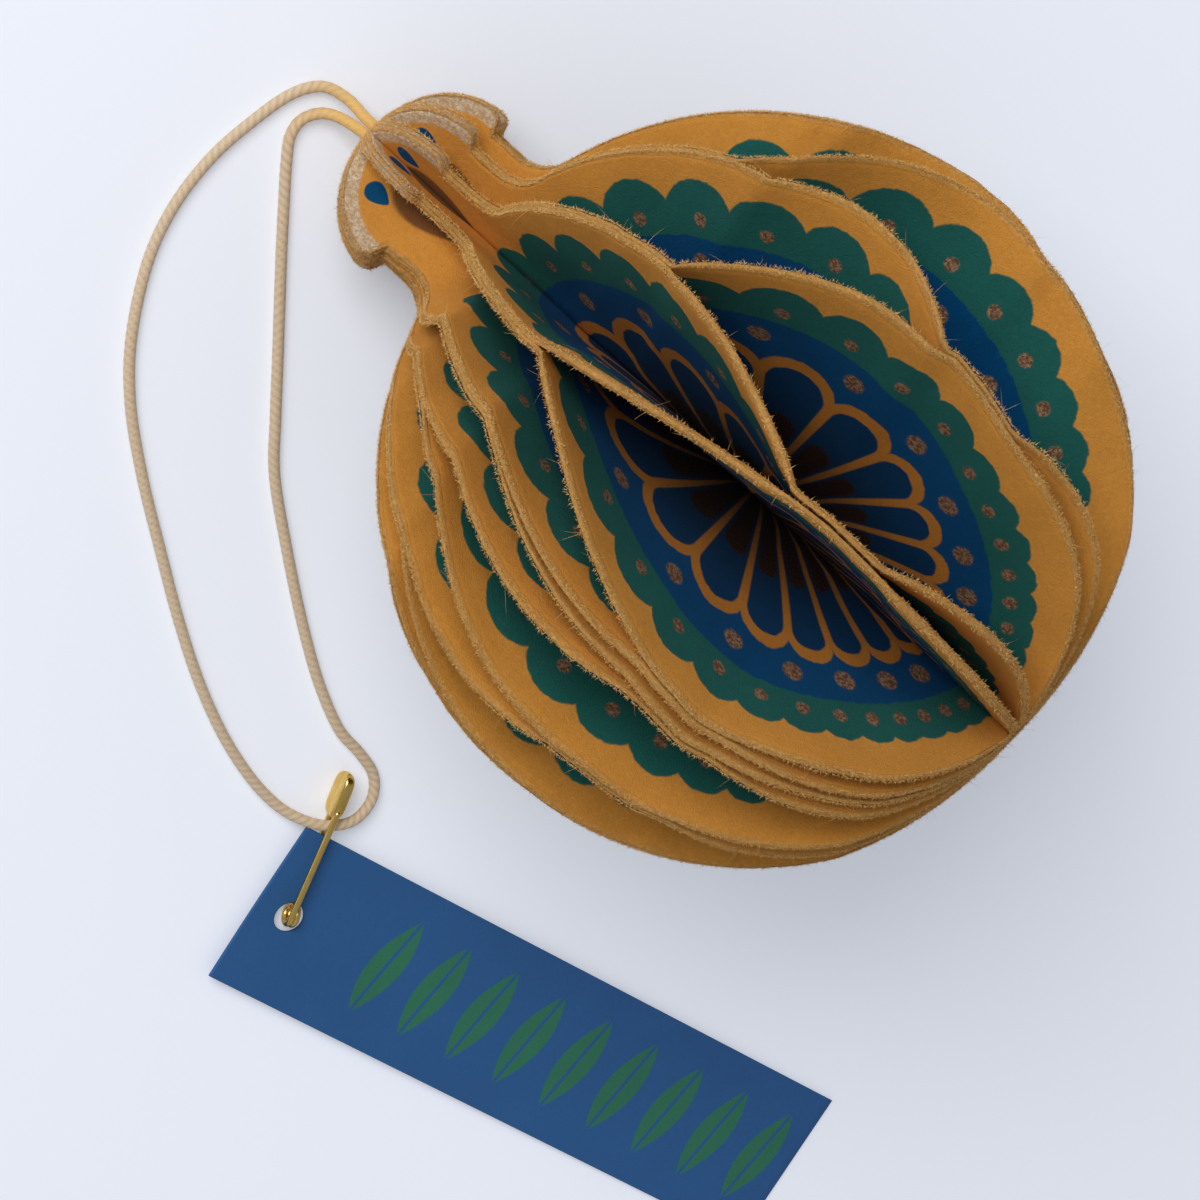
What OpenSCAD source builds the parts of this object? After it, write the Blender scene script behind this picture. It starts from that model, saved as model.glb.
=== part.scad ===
// Honeycomb paper ornament lying on a table. Stiff cut paper leaves fan out from one spine.
// Each leaf is half of a bauble outline, glued to its neighbours in turn near the cap
// and just below the middle, so that the fan opens into cells.

/* [Ball] */
// Radius of the ball across its middle
ball_r = 40; // [30:0.5:60]
// Distance from the middle of the ball to its foot
foot_h = 37.7; // [28:0.1:60]

/* [Neck and cap] */
// Radius of the neck
neck_r = 9.1; // [6:0.1:14]
// Radius of the hollow curve between ball and neck
neck_curve = 5; // [3:0.1:10]
// Length of the straight neck
neck_len = 3.4; // [1:0.1:10]
// Radius of the cap at its lip
cap_r = 11.2; // [8:0.1:18]
// Height of the lip's slanted underside
lip_h = 0.9; // [0.4:0.1:3]
// Height of the domed cap above its lip
cap_h = 9.3; // [4:0.1:20]

/* [Paper] */
// Number of leaves
leaf_count = 28; // [24:2:32]
// Thickness of one leaf
leaf_t = 1.1; // [0.5:0.05:1.3]
// Thickness of the glue between two leaves
glue_t = 0.04; // [0.03:0.01:0.1]
// Radius of the open bore along the spine
bore_r = 1.5; // [1.4:0.1:3]

/* [Cord, pin and tag] */
// Diameter of the hanging cord
cord_d = 1.3; // [0.8:0.1:1.3]
// Diameter of the pin's wire
wire_d = 0.8; // [0.5:0.05:0.9]
// Length of the pin
pin_len = 19.5; // [16:0.5:30]
// Distance between the middles of the pin's two legs
pin_gap = 2.4; // [2.3:0.1:4]
// Length of the pin's head
head_len = 5.6; // [3:0.1:8]
// Length of the tag
tag_len = 83; // [50:1:100]
// Width of the tag
tag_w = 20.5; // [12:0.5:40]
// Thickness of the tag's card
tag_t = 0.5; // [0.3:0.05:0.8]
// Diameter of the hole in the tag
hole_d = 3.6; // [3:0.1:5]

/* [Hidden] */
function name(i) = str("leaf_", i < 10 ? "0" : "", i);

deg = 180 / PI;

// Openings between the leaves of the front half, in degrees at the rim of the ball.
// A gap that faces the foot is glued from the cap down to a latitude, then opens.
// A gap that faces the cap is open from the cap down to a latitude, then glued.
// Each row gives that latitude, the run to full width and the full width.
// A gap that faces the cap has one more width, which it turns to between the ball and the lip.
cap_gaps = [[-8, 50, 11, 1], [-6, 50, 16, 1], [-14, 60, 9, 1], [-10, 44, 11.5, 66],
            [-10, 50, 23, 23], [-11, 40, 23, 23], [-8, 42, 29, 29]];
foot_gaps = [[32, 50, 22], [46, 56, 17], [30, 40, 1.2], [34, 56, 35],
             [27, 40, 30], [33, 45, 36]];
// The same for every gap of the back half, which share what the front half leaves
back_cap = [-8, 45, 24, 24];
back_foot = [33, 50, 24];
// Latitude where the widths at the cap set in, and the one that the neck's curve ends with
cap_from = 58;
neck_lat = 84;
// The cap gaps open again as narrow slits from this latitude to the foot
slit_from = -27;
slit_run = 40;
slit_part = 0.45;
least_gap = 0.3;

// Leaf that the front view faces, and its azimuth near the cap and below the middle
front_leaf = 9;
front_top = -9;
front_turn = 10;
front_from = 38;
front_run = 55;

// Rows of the leaf's mesh: latitudes on the ball, and angles on the neck's curve and the dome
ball_rows = [-86, -75, -63, -50, -37, -24, -12, 0, 12, 24, 36, 48, 60];
dome_rows = [0, 28, 56, 82];
// Columns of the leaf's mesh, as shares of the way from the bore to the rim
columns = [0, 0.09, 0.25, 0.55, 1];

curve_z = sqrt(pow(ball_r + neck_curve, 2) - pow(neck_r + neck_curve, 2));
curve_lat = acos((neck_r + neck_curve) / (ball_r + neck_curve));
lip_z = curve_z + neck_len;
cap_z = lip_z + lip_h;

// Foot of the ball flattens below this southern latitude
foot_from = 55;

// Rises from 0 to 1, a little faster at first
function ease(u) = let (c = max(0, min(1, u))) (c + sin(90 * c)) / 2;

// Radius of the ball at a latitude, a little flatter at the foot
function ball_at(a) = ball_r - (ball_r - foot_h) * ease((-a - foot_from) / (90 - foot_from));

// Outline of a leaf from its foot to its top, as radius, height and latitude for the gaps
outline = concat(
    [for (a = ball_rows) [ball_at(a) * cos(a), ball_at(a) * sin(a), a]],
    [for (k = [0, 0.5, 1]) let (b = curve_lat * (1 - k))
        [neck_r + neck_curve - neck_curve * cos(b), curve_z - neck_curve * sin(b),
         curve_lat + (neck_lat - curve_lat) * k]],
    [[neck_r, lip_z, 90]],
    [for (b = dome_rows) [cap_r * cos(b), cap_z + cap_h * sin(b), 90]]
);

function opens(row, width, u) = width * ease(u / row[1]);
function cap_width(row, a) = row[2] + (row[3] - row[2]) * ease((a - cap_from) / (90 - cap_from));
function cap_open(row, a) = least_gap + opens(row, cap_width(row, a), a - row[0])
    + slit_part * row[2] * ease((slit_from - a) / slit_run);
function foot_open(row, a) = opens(row, row[2], row[0] - a);

// Angle that one leaf and its glue take up at a radius
function half_leaf(r) = min(leaf_t / 2 / r * deg, 180 / leaf_count - glue_t / 2 / r * deg);
function pitch(r) = 2 * half_leaf(r) + glue_t / r * deg;
function free_angle(r) = 360 - leaf_count * pitch(r);

front_count = len(cap_gaps) + len(foot_gaps);
back_count = leaf_count - front_count;
function sum_to(v, n) = n == 0 ? 0 : v[n - 1] + sum_to(v, n - 1);

// Openings of all gaps at a latitude. The back half is scaled so that they fill the circle.
function gaps_at(a) =
    let (front = [for (k = [0:front_count - 1])
            k % 2 == 0 ? cap_open(cap_gaps[k / 2], a) : foot_open(foot_gaps[(k - 1) / 2], a)],
        back = [for (k = [0:back_count - 1])
            k % 2 == 0 ? foot_open(back_foot, a) : cap_open(back_cap, a)],
        left = free_angle(ball_r) - sum_to(front, front_count),
        scale_by = left / sum_to(back, back_count))
    concat(front, back * scale_by);

// Angle of each leaf in each row, from the front leaf, at the rim of the ball
fan = [for (p = outline) let (g = gaps_at(p[2]), s = sum_to(g, front_leaf - 1))
    [for (i = [0:leaf_count - 1]) sum_to(g, i) - s]];
function front_at(a) = front_top + front_turn * ease((front_from - a) / front_run);

function azimuth(i, row, r) = front_at(outline[row][2]) + (i - front_leaf) * pitch(r)
    + fan[row][i - 1] * free_angle(r) / free_angle(ball_r);

// Point of a leaf with the spine upright, on its left side (1) or right side (-1)
function leaf_point(i, row, share, side) =
    let (r = bore_r + (outline[row][0] - bore_r) * share,
        a = azimuth(i, row, r) + side * half_leaf(r))
    [r * cos(a), r * sin(a), outline[row][1]];

rows = len(outline);
cols = len(columns);
lip_row = rows - len(dome_rows);

// The ornament lies on two leaves and its cap: the spine tips until both touch the table
rims = [for (i = [1:leaf_count], row = [0:rows - 1], side = [-1, 1])
    concat(leaf_point(i, row, 1, side), [row < lip_row ? 0 : 1])];
function depth(p, t) = p[2] * sin(t) - p[0] * cos(t);
function reach(t, on_cap) = max([for (p = rims) if (p[3] == on_cap) depth(p, t)]);
function rest_tilt(lo, hi, n) = let (t = (lo + hi) / 2)
    n == 0 ? t : reach(t, 1) < reach(t, 0) ? rest_tilt(t, hi, n - 1) : rest_tilt(lo, t, n - 1);
tilt = rest_tilt(15, 60, 16);

// Turns a point of the upright ornament into its place on the table
function tipped(p) = [-p[0] * sin(tilt) - p[2] * cos(tilt), p[1], p[0] * cos(tilt) - p[2] * sin(tilt)];
laid = [for (p = rims) tipped(p)];
low = [for (k = [0:2]) min([for (p = laid) p[k]])];
high = [for (k = [0:2]) max([for (p = laid) p[k]])];
middle = [(low[0] + high[0]) / 2, (low[1] + high[1]) / 2, low[2]];
function place(p) = tipped(p) - middle;

// The cord's two strands leave the bore side by side, then lie on the table as one loop
strand_y = 0.7;
strand_in = 3;
strand_out = 1.5;
top_z = cap_z + cap_h;
route = concat(
    [place([0, strand_y, top_z - strand_in]), place([0, strand_y, top_z + strand_out])],
    [[-44.6, 0.95, 1.93], [-47.2, 0.05, 0.9], [-49.1, -2.75, 0.67], [-50.2, -7.2, 0.65],
     [-50.9, -13.6, 0.65], [-50.2, -20.2, 0.65], [-47.9, -26.5, 0.65], [-43.2, -33.6, 0.65],
     [-37.8, -39, 0.65], [-30.7, -44, 0.65], [-22.5, -48.9, 0.65], [-15.2, -53.1, 0.65],
     [-8.1, -56.7, 0.65], [-1, -59.5, 0.65], [5.4, -61.1, 0.65],
     [10.3, -61.5, 0.8], [13.8, -60.8, 1.4], [16.8, -59.3, 1.6], [18.9, -56.9, 1.3],
     [18.9, -53.9, 0.9], [16.9, -51.7, 0.68], [13.6, -50.9, 0.65], [9.4, -50.4, 0.65],
     [3.2, -47.9, 0.65], [-3.7, -44.1, 0.65], [-11.5, -39.2, 0.65],
     [-18.8, -34.2, 0.65], [-23.5, -29.6, 0.65], [-28.3, -24.7, 0.65], [-36.3, -16.6, 0.65],
     [-40.9, -11.8, 0.65], [-43.9, -8.6, 0.65], [-45.9, -6, 0.67], [-46.15, -3.65, 0.88],
     [-44.8, -1.6, 1.75]],
    [place([0, -strand_y, top_z + strand_out]), place([0, -strand_y, top_z - strand_in])]
);
route_steps = 2;
cord_sides = 8;

// Place on the table of the hole in the tag, and the way that the tag and the pin point
hole_at = [21.4, -70.2];
tag_turn = 11.5;
pin_turn = 114;
// Distance from the tag's short end to the middle of its hole
hole_from_end = 4.6;
// Distance along the pin from the hole's middle to the middle of its bend
bend_from_hole = 0.6;
// Height of the tag's near end, which lies on the pin's lower leg
tag_rise = wire_d + 0.2;

function unit(v) = v / norm(v);
// Point and direction on a smooth curve through the route's points
function on_curve(p, k, u) =
    let (n = len(p) - 1, a = p[max(k - 1, 0)], b = p[k], c = p[min(k + 1, n)], d = p[min(k + 2, n)])
    0.5 * (2 * b + (c - a) * u + (2 * a - 5 * b + 4 * c - d) * u * u
        + (3 * b - a - 3 * c + d) * u * u * u);

module leaf(i) {
    points = [for (side = [1, -1], row = [0:rows - 1], c = columns) place(leaf_point(i, row, c, side))];
    half = rows * cols;
    function at(side, row, col) = side * half + row * cols + col;
    faces = concat(
        [for (row = [0:rows - 2], c = [0:cols - 2]) each [
            [at(0, row, c), at(0, row, c + 1), at(0, row + 1, c + 1)],
            [at(0, row, c), at(0, row + 1, c + 1), at(0, row + 1, c)],
            [at(1, row, c), at(1, row + 1, c + 1), at(1, row, c + 1)],
            [at(1, row, c), at(1, row + 1, c), at(1, row + 1, c + 1)]]],
        [for (row = [0:rows - 2]) each [
            [at(0, row, 0), at(0, row + 1, 0), at(1, row + 1, 0), at(1, row, 0)],
            [at(0, row + 1, cols - 1), at(0, row, cols - 1), at(1, row, cols - 1), at(1, row + 1, cols - 1)]]],
        [for (c = [0:cols - 2]) each [
            [at(0, 0, c + 1), at(0, 0, c), at(1, 0, c), at(1, 0, c + 1)],
            [at(0, rows - 1, c), at(0, rows - 1, c + 1), at(1, rows - 1, c + 1), at(1, rows - 1, c)]]]
    );
    color(i % 2 == 0 ? "goldenrod" : "darkgoldenrod") polyhedron(points, faces);
}

// Tube swept along the route, with level rings of equal size
module hanging_cord() {
    line = concat([for (k = [0:len(route) - 2], j = [0:route_steps - 1])
        on_curve(route, k, j / route_steps)], [route[len(route) - 1]]);
    last = len(line) - 1;
    points = [for (k = [0:last])
        let (way = unit(line[min(k + 1, last)] - line[max(k - 1, 0)]),
            across = unit(cross(way, [0, 0, 1])), up = cross(across, way))
        for (m = [0:cord_sides - 1])
            let (a = 360 * (m + 0.5) / cord_sides)
            line[k] + cord_d / 2 * (cos(a) * across + sin(a) * up)];
    sides = [for (k = [0:last - 1], m = [0:cord_sides - 1])
        let (a = k * cord_sides + m, b = k * cord_sides + (m + 1) % cord_sides)
        each [[a, b, b + cord_sides], [a, b + cord_sides, a + cord_sides]]];
    ends = [[for (m = [cord_sides - 1:-1:0]) m], [for (m = [0:cord_sides - 1]) last * cord_sides + m]];
    color("wheat") polyhedron(points, concat(sides, ends));
}

// Safety pin closed round the cord: two legs, one bend and the clasp that holds the point
module safety_pin() {
    half = pin_gap / 2;
    clasp_to = pin_len - half - wire_d / 2;
    clasp_r = half + wire_d / 2;
    leg_len = clasp_to - head_len / 2;
    color("gold") translate([hole_at[0], hole_at[1], clasp_r]) rotate([0, 0, pin_turn])
    translate([bend_from_hole, 0, 0]) rotate([90, 0, 0]) {
        rotate([0, 0, 90]) rotate_extrude(angle = 180, $fn = 32) translate([half, 0])
            circle(d = wire_d, $fn = 16);
        for (side = [-1, 1]) translate([0, side * half, 0]) rotate([0, 90, 0])
            cylinder(d = wire_d, h = leg_len, $fn = 16);
        translate([clasp_to - clasp_r, 0, 0]) cylinder(r = clasp_r, h = 2 * wire_d, center = true, $fn = 32);
        translate([clasp_to - head_len, -clasp_r, -wire_d])
            cube([head_len - clasp_r, 2 * clasp_r, 2 * wire_d]);
    }
}

// Card tag, lying on the pin at one end and on the table at the other
module tag() {
    color("steelblue") translate([hole_at[0], hole_at[1], 0]) rotate([0, 0, tag_turn])
    translate([tag_len - hole_from_end, 0, 0]) rotate([0, asin(tag_rise / tag_len), 0])
    translate([-tag_len, -tag_w / 2, 0]) difference() {
        cube([tag_len, tag_w, tag_t]);
        translate([hole_from_end, tag_w / 2, -1]) cylinder(d = hole_d, h = tag_t + 2, $fn = 48);
    }
}

for (i = [1:leaf_count]) leaf(i);
hanging_cord();
safety_pin();
tag();
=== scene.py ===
import math

import bpy
import numpy as np
from mathutils import Matrix


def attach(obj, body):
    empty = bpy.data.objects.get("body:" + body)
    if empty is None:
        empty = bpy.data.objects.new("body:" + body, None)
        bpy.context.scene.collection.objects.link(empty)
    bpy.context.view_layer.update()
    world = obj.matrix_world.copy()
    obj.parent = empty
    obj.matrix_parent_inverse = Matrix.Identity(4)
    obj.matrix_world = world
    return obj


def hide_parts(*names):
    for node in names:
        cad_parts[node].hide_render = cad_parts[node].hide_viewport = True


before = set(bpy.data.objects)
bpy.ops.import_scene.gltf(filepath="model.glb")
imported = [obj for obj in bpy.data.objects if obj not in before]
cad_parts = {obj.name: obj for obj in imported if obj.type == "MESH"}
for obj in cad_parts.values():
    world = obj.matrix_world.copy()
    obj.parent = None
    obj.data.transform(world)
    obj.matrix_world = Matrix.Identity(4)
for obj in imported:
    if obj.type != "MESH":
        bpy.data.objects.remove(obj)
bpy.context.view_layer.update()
mm = 0.001


# camera and the hanging cord
view = {
    "elevation": 58.08,  # degrees above the table, seen from the cap's side
    "roll": 43.26,
    "distance": 0.6,
    "aside": 0.01638,  # how far the ball stands right of the middle of the picture
    "above": 0.0117,
    "lens": 169.27,
}

bauble = {
    "leaves": 28,
    "ballR": 40,  # all sizes here are in millimetres
    "footH": 37.7,
    "footFrom": 55,  # southern latitude below which the foot flattens
    "neckR": 9.1,
    "neckCurve": 5,
    "neckLen": 3.4,
    "capR": 11.2,
    "lipH": 0.9,
    "capH": 9.3,
    "boreR": 1.5,
    "leafT": 1.1,
    "glueT": 0.04,
    "tilt": 37.922,  # the spine's slope on the table
    "ballAt": (3.531, 0.072, 39.3835),
}
# the middle of the neck's hollow curve, from the ball's middle and from the spine
fromBall = bauble["ballR"] + bauble["neckCurve"]
fromSpine = bauble["neckR"] + bauble["neckCurve"]
curveZ = math.sqrt(fromBall ** 2 - fromSpine ** 2)
curveLat = math.degrees(math.acos(fromSpine / fromBall))
lipZ = curveZ + bauble["neckLen"]
capZ = lipZ + bauble["lipH"]
topZ = capZ + bauble["capH"]


def placed(points):
    # the upright spine tips over to its slope on the table, and the ball's middle goes to its place
    turn = math.radians(bauble["tilt"])
    x, y, z = points[..., 0], points[..., 1], points[..., 2]
    s, c = math.sin(turn), math.cos(turn)
    laid = np.stack([-x * s - z * c, y, x * c - z * s], axis=-1)
    return (laid + np.array(bauble["ballAt"])) * mm


def setCamera():
    lift, roll = math.radians(view["elevation"]), math.radians(view["roll"])
    back = np.array([-math.cos(lift), 0, math.sin(lift)])
    away = np.array([math.sin(lift), 0, math.cos(lift)])
    side = np.array([0, 1, 0])
    right = math.cos(roll) * away + math.sin(roll) * side
    up = math.cos(roll) * side - math.sin(roll) * away
    middle = np.array(bauble["ballAt"]) * mm
    spot = middle + view["distance"] * back - view["aside"] * right - view["above"] * up
    lens = bpy.data.cameras.new("camera")
    lens.lens, lens.sensor_width, lens.clip_start, lens.clip_end = view["lens"], 36, 0.01, 10
    eye = bpy.data.objects.new("camera", lens)
    bpy.context.collection.objects.link(eye)
    matrix = np.eye(4)
    matrix[:3, :] = np.column_stack([right, up, back, spot])
    eye.matrix_world = Matrix(matrix.tolist())
    bpy.context.scene.camera = eye


setCamera()
print("camera set")


def addMesh(name, points, faces):
    mesh = bpy.data.meshes.new(name)
    corners = faces.tolist() if hasattr(faces, "tolist") else faces
    mesh.from_pydata(points.reshape(-1, 3).tolist(), [], corners)
    mesh.update()
    piece = bpy.data.objects.new(name, mesh)
    bpy.context.collection.objects.link(piece)
    mesh.polygons.foreach_set("use_smooth", np.ones(len(mesh.polygons), dtype=bool))
    return piece


def gridFaces(rows, cols):
    # four-cornered faces between neighbouring rings, the last column joined to the first
    a, b = np.meshgrid(np.arange(rows - 1), np.arange(cols), indexing="ij")
    c = (b + 1) % cols
    quads = np.stack([a * cols + b, a * cols + c, (a + 1) * cols + c, (a + 1) * cols + b], axis=-1)
    return quads.reshape(-1, 4)


def tubeFaces(rows, cols, flip=False):
    # the faces round a tube of rings, and one face across each end
    faces = [tuple(f) for f in gridFaces(rows, cols)]
    faces += [tuple(range(cols - 1, -1, -1)), tuple(range((rows - 1) * cols, rows * cols))]
    return [f[::-1] for f in faces] if flip else faces


def setLayer(piece, name, values):
    layer = piece.data.attributes.new(name, "FLOAT", "POINT")
    layer.data.foreach_set("value", np.asarray(values, dtype=np.float32).ravel())


def setPlan(piece, name, perPoint):
    # a UV map that takes each corner's place from its point
    mesh = piece.data
    corner = np.empty(len(mesh.loops), dtype=np.int32)
    mesh.loops.foreach_get("vertex_index", corner)
    layer = mesh.uv_layers.new(name=name)
    layer.data.foreach_set("uv", np.asarray(perPoint, dtype=np.float32).reshape(-1, 2)[corner].ravel())


def smoothPath(points, steps):
    # Catmull-Rom: each stretch blends four neighbouring points by cubic weights
    ends = np.vstack([points[:1], points, points[-1:]])
    u = np.linspace(0, 1, steps, endpoint=False)[:, None, None]
    a, b, c, d = ends[:-3], ends[1:-2], ends[2:-1], ends[3:]
    line = 0.5 * (2 * b + (c - a) * u + (2 * a - 5 * b + 4 * c - d) * u**2 + (3 * b - a - 3 * c + d) * u**3)
    return np.vstack([line.transpose(1, 0, 2).reshape(-1, 3), points[-1:]])


def pathFrames(line):
    # direction along the path, a level direction across it, and the third one square to both
    way = np.gradient(line, axis=0)
    way /= np.linalg.norm(way, axis=1)[:, None]
    across = np.cross(way, [0, 0, 1.0])
    across /= np.linalg.norm(across, axis=1)[:, None]
    return way, across, np.cross(across, way)


def pathLength(line):
    return np.linalg.norm(np.diff(line, axis=0), axis=1).sum()


cordSet = {
    "thick": 1.3,
    "strands": 0.7,  # the two strands leave the bore this far to either side
    "inside": 3,
    "outside": 1.5,
    "steps": 24,
    "sides": 18,
    "plies": 3,
    "lay": 3.0,  # length of one turn of the twist
    "groove": 0.07,
    "route": [
        (-44.6, 0.95, 1.93), (-47.2, 0.05, 0.9), (-49.1, -2.75, 0.67), (-50.2, -7.2, 0.65),
        (-50.9, -13.6, 0.65), (-50.2, -20.2, 0.65), (-47.9, -26.5, 0.65), (-43.2, -33.6, 0.65),
        (-37.8, -39, 0.65), (-30.7, -44, 0.65), (-22.5, -48.9, 0.65), (-15.2, -53.1, 0.65),
        (-8.1, -56.7, 0.65), (-1, -59.5, 0.65), (5.4, -61.1, 0.65),
        (10.3, -61.5, 0.8), (13.8, -60.8, 1.4), (16.8, -59.3, 1.6), (18.9, -56.9, 1.3),
        (18.9, -53.9, 0.9), (16.9, -51.7, 0.68), (13.6, -50.9, 0.65), (9.4, -50.4, 0.65),
        (3.2, -47.9, 0.65), (-3.7, -44.1, 0.65), (-11.5, -39.2, 0.65),
        (-18.8, -34.2, 0.65), (-23.5, -29.6, 0.65), (-28.3, -24.7, 0.65), (-36.3, -16.6, 0.65),
        (-40.9, -11.8, 0.65), (-43.9, -8.6, 0.65), (-45.9, -6, 0.67), (-46.15, -3.65, 0.88),
        (-44.8, -1.6, 1.75),
    ],
}


def makeCord():
    strand = cordSet["strands"]
    rise = np.array([topZ - cordSet["inside"], topZ + cordSet["outside"]])
    leave = placed(np.array([[0, strand, rise[0]], [0, strand, rise[1]]]))
    back = placed(np.array([[0, -strand, rise[1]], [0, -strand, rise[0]]]))
    points = np.vstack([leave, np.array(cordSet["route"]) * mm, back])
    line = smoothPath(points, cordSet["steps"])
    way, across, up = pathFrames(line)
    along = np.concatenate([[0], np.cumsum(np.linalg.norm(np.diff(line, axis=0), axis=1))])
    # round section with one shallow hollow between each two plies, turning evenly along the path
    angle = np.linspace(0, 2 * math.pi, cordSet["sides"], endpoint=False)
    twist = angle[None, :] - 2 * math.pi * along[:, None] / (cordSet["lay"] * mm)
    ply = np.abs(np.cos(cordSet["plies"] / 2 * twist))
    radius = cordSet["thick"] / 2 * mm * (1 - cordSet["groove"] * (1 - ply) ** 1.5)
    shape = (line[:, None, :] + radius[..., None] * (np.cos(angle)[None, :, None] * across[:, None, :]
             + np.sin(angle)[None, :, None] * up[:, None, :]))
    rows, cols = shape.shape[:2]
    faces = tubeFaces(rows, cols, flip=True)
    piece = addMesh("cord_loop", shape, faces)
    setPlan(piece, "lengthwise", np.stack(np.broadcast_arrays(along[:, None] / mm,
            twist / (2 * math.pi)), axis=-1))
    setLayer(piece, "ply", ply)
    # the cord turns yellow towards both ends, beside the cap
    fromEnd = np.minimum(along, along[-1] - along) / mm
    setLayer(piece, "yellow", np.broadcast_to(np.exp(-(fromEnd / 11)[:, None] ** 4), ply.shape))
    return piece, line, leave[0]


cordPiece, cordLine, cordExit = makeCord()
print("cord", round(pathLength(cordLine) / mm, 1), "mm")


# nodes of the materials
def addNode(tree, kind, values=None, **settings):
    node = tree.nodes.new(kind)
    for key, value in settings.items():
        setattr(node, key, value)
    for key, value in (values or {}).items():
        if isinstance(value, bpy.types.NodeSocket):
            tree.links.new(value, node.inputs[key])
        else:
            node.inputs[key].default_value = value
    return node


def maths(tree, operation, *terms):
    return addNode(tree, "ShaderNodeMath", dict(enumerate(terms)), operation=operation).outputs[0]


def times(tree, a, b):
    return maths(tree, "MULTIPLY", a, b)


def plus(tree, a, b):
    return maths(tree, "ADD", a, b)


def minus(tree, a, b):
    return maths(tree, "SUBTRACT", a, b)


def over(tree, a, b):
    return maths(tree, "DIVIDE", a, b)


def distance(tree, u, v):
    # square root of the sum of both squares
    return maths(tree, "SQRT", plus(tree, times(tree, u, u), times(tree, v, v)))


def below(tree, value, limit, soft):
    # 1 where the value is under the limit, 0 above it, with a soft edge
    span = {"Value": value, "From Min": limit - soft, "From Max": limit + soft, "To Min": 1.0, "To Max": 0.0}
    node = addNode(tree, "ShaderNodeMapRange", span, interpolation_type="SMOOTHSTEP")
    return node.outputs["Result"]


def stretched(tree, value, low, high):
    # rises from 0 at the low value to 1 at the high one
    node = addNode(tree, "ShaderNodeMapRange", {"Value": value, "From Min": low, "From Max": high})
    return node.outputs[0]


def blendColour(tree, share, first, second, kind="MIX"):
    node = addNode(tree, "ShaderNodeMix", {0: share, 6: first, 7: second}, data_type="RGBA", blend_type=kind)
    return node.outputs[2]


def noiseOf(tree, vector, scale, detail=2.0, rough=0.5, warp=0.0):
    return addNode(tree, "ShaderNodeTexNoise", {"Vector": vector, "Scale": scale, "Detail": detail,
                   "Roughness": rough, "Distortion": warp}).outputs["Fac"]


def rgba(red, green, blue):
    # picture colour from 0 to 255 to the linear colour that a shader takes
    def linear(c):
        c /= 255
        return c / 12.92 if c <= 0.04045 else ((c + 0.055) / 1.055) ** 2.4
    return (linear(red), linear(green), linear(blue), 1.0)


def newGroup(name, inputs, outputs):
    tree = bpy.data.node_groups.new(name, "ShaderNodeTree")
    for label, kind in inputs:
        tree.interface.new_socket(label, in_out="INPUT", socket_type="NodeSocket" + kind)
    for label, kind in outputs:
        tree.interface.new_socket(label, in_out="OUTPUT", socket_type="NodeSocket" + kind)
    return tree, tree.nodes.new("NodeGroupInput"), tree.nodes.new("NodeGroupOutput")


printSet = {
    # distances are in ball radii, and the angle runs from the cap down to the foot
    "paceTop": 0.9,  # how fast the motifs follow each other above the turn
    "paceTurn": 1.047,
    "paceGrow": 0.148,  # share of the cube of the angle past the turn
    "petals": 11,  # from the cap to the foot
    "petalTip": 0.645,
    "petalHalf": 0.114,
    "fillTip": 0.604,
    "fillHalf": 0.084,
    "innerTip": 0.4,
    "innerHalf": 0.044,
    "dotAt": 0.695,
    "dotR": 0.029,
    "ringEnd": 0.768,
    "scallops": 19,
    "scallopAt": 0.818,
    "scallopBase": 0.045,
    "scallopGrow": 0.062,
    "smallDotR": 0.0195,
    "soft": 0.0035,  # half width of the edges between inks
    "dotSoft": 0.005,
    "smallDotSoft": 0.004,
    "innerSoft": 0.008,
    # the dark heart round the spine is part printed ink, part painted shade
    "heartShadeR": 0.30,
    "heartShadeSoft": 0.31,
    "wobble": 0.014,  # how far the ink's edges waver
    "wobbleScale": 900,
    "speckScale": 2600,
    "mustard": rgba(214, 146, 62),
    "outlineInk": rgba(186, 118, 44),
    "blue": rgba(0, 68, 112),
    "petalBlue": rgba(0, 52, 88),
    "teal": rgba(32, 94, 86),
    "bronze": rgba(104, 66, 44),
    "silver": rgba(184, 152, 120),
    "deepBrown": rgba(44, 24, 14),
    "heartInkAndShade": rgba(16, 12, 12),
}


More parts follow.
